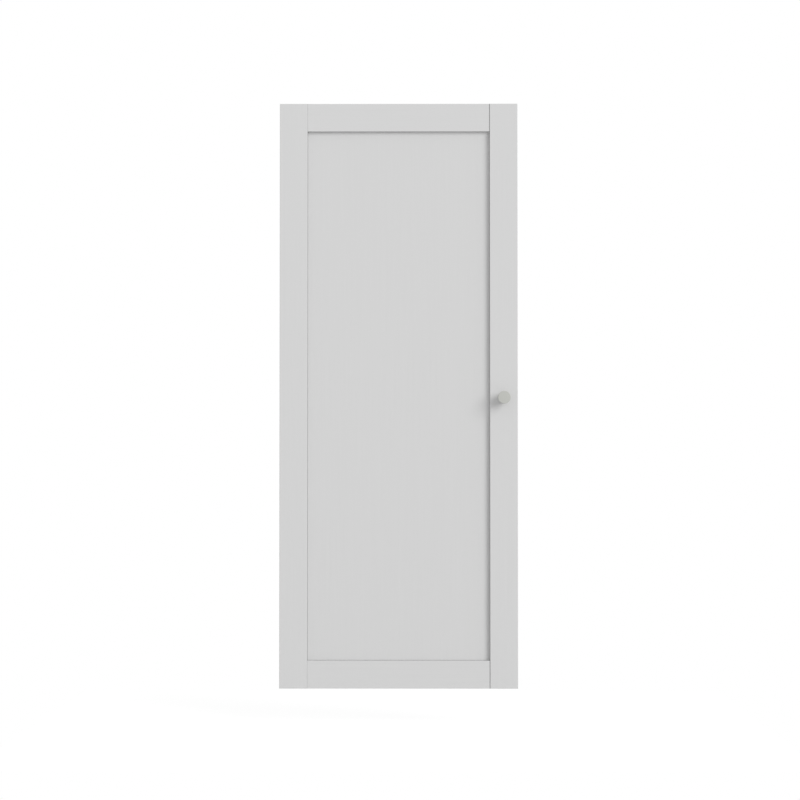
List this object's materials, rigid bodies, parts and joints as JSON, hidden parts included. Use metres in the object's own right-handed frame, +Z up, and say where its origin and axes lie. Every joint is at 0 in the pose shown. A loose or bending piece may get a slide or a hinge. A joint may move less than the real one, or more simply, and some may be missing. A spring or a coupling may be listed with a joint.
{
  "type": "bookcase door",
  "caption": "Tall frame-and-panel cabinet door in grey-white paint with one turned knob and two concealed cup hinges on the back of its left stile.",
  "frame": {"origin": "centre of the lower mounting plate's two screw holes, on the face that meets the cabinet side", "axes": "+X from the hinge stile towards the knob stile, +Y from the door into the cabinet, +Z up"},
  "size_m": [0.395, 0.107, 0.97],
  "materials": {
    "painted_frame": "smooth satin grey-white paint over fine grain, bars",
    "painted_panel": "smooth satin grey-white paint over fine grain, panel",
    "dowel_wood": "plain beech",
    "knob_coat": "matte powder coat in warm light grey",
    "nickel_steel": "nickel-plated pressed steel",
    "nickel_zinc": "nickel-plated zinc casting",
    "link_steel": "nickel-plated steel strip",
    "pin_steel": "bright drawn steel",
    "zinc_screw": "bright zinc-plated steel"
  },
  "bodies": {
    "cabinet_side": {"upper_arm_pins": "pin_steel", "upper_arm": "nickel_steel", "upper_mounting_plate": "nickel_zinc", "upper_side_screw": "zinc_screw", "upper_fixing_screw": "zinc_screw", "lower_arm_pins": "pin_steel", "lower_arm": "nickel_steel", "lower_mounting_plate": "nickel_zinc", "lower_side_screw": "zinc_screw", "lower_fixing_screw": "zinc_screw"},
    "inner_links": {"upper_inner_link": "link_steel", "lower_inner_link": "link_steel"},
    "outer_links": {"upper_outer_link": "link_steel", "lower_outer_link": "link_steel"},
    "door": {"hinge_stile": "painted_frame", "knob_stile": "painted_frame", "top_rail": "painted_frame", "bottom_rail": "painted_frame", "panel": "painted_panel", "dowels": "dowel_wood", "knob": "knob_coat", "knob_screw": "zinc_screw", "upper_cup": "nickel_steel", "upper_cup_screws": "zinc_screw", "upper_cup_pins": "pin_steel", "lower_cup": "nickel_steel", "lower_cup_screws": "zinc_screw", "lower_cup_pins": "pin_steel"}
  },
  "joints": [
    {"name": "inner_link_swing", "type": "hinge", "parent": "cabinet_side", "child": "inner_links", "pos_m": [0.0197, -0.0283, 0.385], "axis": [0, 0, 1], "range_deg": [0, 23.75]},
    {"name": "door_swing", "type": "hinge", "parent": "inner_links", "child": "door", "pos_m": [-0.0044, -0.0434, 0.385], "axis": [0, 0, -1], "range_deg": [0, 115.55]},
    {"name": "outer_link_swing", "type": "hinge", "parent": "cabinet_side", "child": "outer_links", "pos_m": [0.0174, -0.0482, 0.385], "axis": [0, 0, 1], "range_deg": [0, 29.46]}
  ],
  "couplings": [
    {"joint": "inner_link_swing", "follows": "door_swing", "ratio": 0.20382},
    {"joint": "outer_link_swing", "follows": "door_swing", "ratio": 0.25318}
  ]
}
